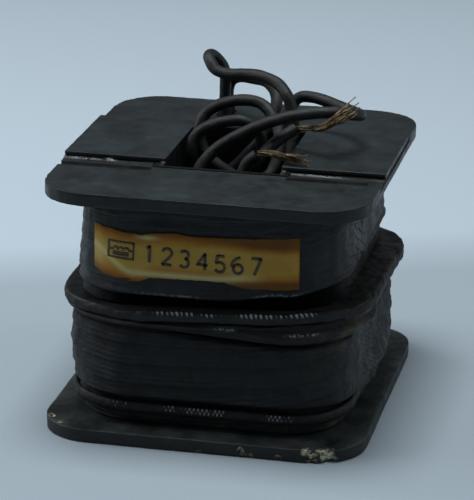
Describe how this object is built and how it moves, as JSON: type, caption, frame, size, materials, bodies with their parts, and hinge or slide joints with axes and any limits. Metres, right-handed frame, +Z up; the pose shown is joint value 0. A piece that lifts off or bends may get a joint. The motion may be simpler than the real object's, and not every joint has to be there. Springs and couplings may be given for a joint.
{
  "type": "ignition coil",
  "caption": "Bare rectangular coil winding: two taped sections between varnished fibre boards, with a core window through the middle and flexible leads tucked into it.",
  "frame": {"origin": "centre of the bottom board's lower face", "axes": "+Z up along the core window, +X to the right as seen from the label, the label faces -Y"},
  "size_m": [0.072, 0.082, 0.0732],
  "materials": {
    "fibre_board": "black varnished fibre",
    "canvas_board": "varnished canvas board",
    "insulating_paper": "varnished paper",
    "copper_winding": "enamelled copper wire",
    "varnished_tape": "black varnished cloth tape",
    "binding_cord": "varnished twisted cord",
    "label_paper": "varnished amber paper",
    "sleeving": "varnished sleeving",
    "lead_insulation": "black varnished insulation",
    "bare_strands": "tarnished copper strands"
  },
  "bodies": {
    "root": {"core_tube": "fibre_board", "side_liner_left": "fibre_board", "side_liner_right": "fibre_board", "bottom_flange": "fibre_board", "middle_flange": "canvas_board", "top_flange": "fibre_board", "middle_edge_binding": "canvas_board", "lower_inner_wrap": "insulating_paper", "lower_winding": "copper_winding", "lower_outer_wrap": "insulating_paper", "lower_tape": "varnished_tape", "lower_cord": "binding_cord", "upper_inner_wrap": "insulating_paper", "upper_winding": "copper_winding", "upper_outer_wrap": "insulating_paper", "upper_tape": "varnished_tape", "label": "label_paper", "crossover_lead": "copper_winding", "splice_1": "sleeving", "splice_2": "sleeving", "lead_sleeve_1": "sleeving", "lead_sleeve_2": "sleeving", "lead_1": "lead_insulation", "lead_2": "lead_insulation", "lead_1_strands": "bare_strands", "lead_2_strands": "bare_strands"}
  },
  "joints": []
}
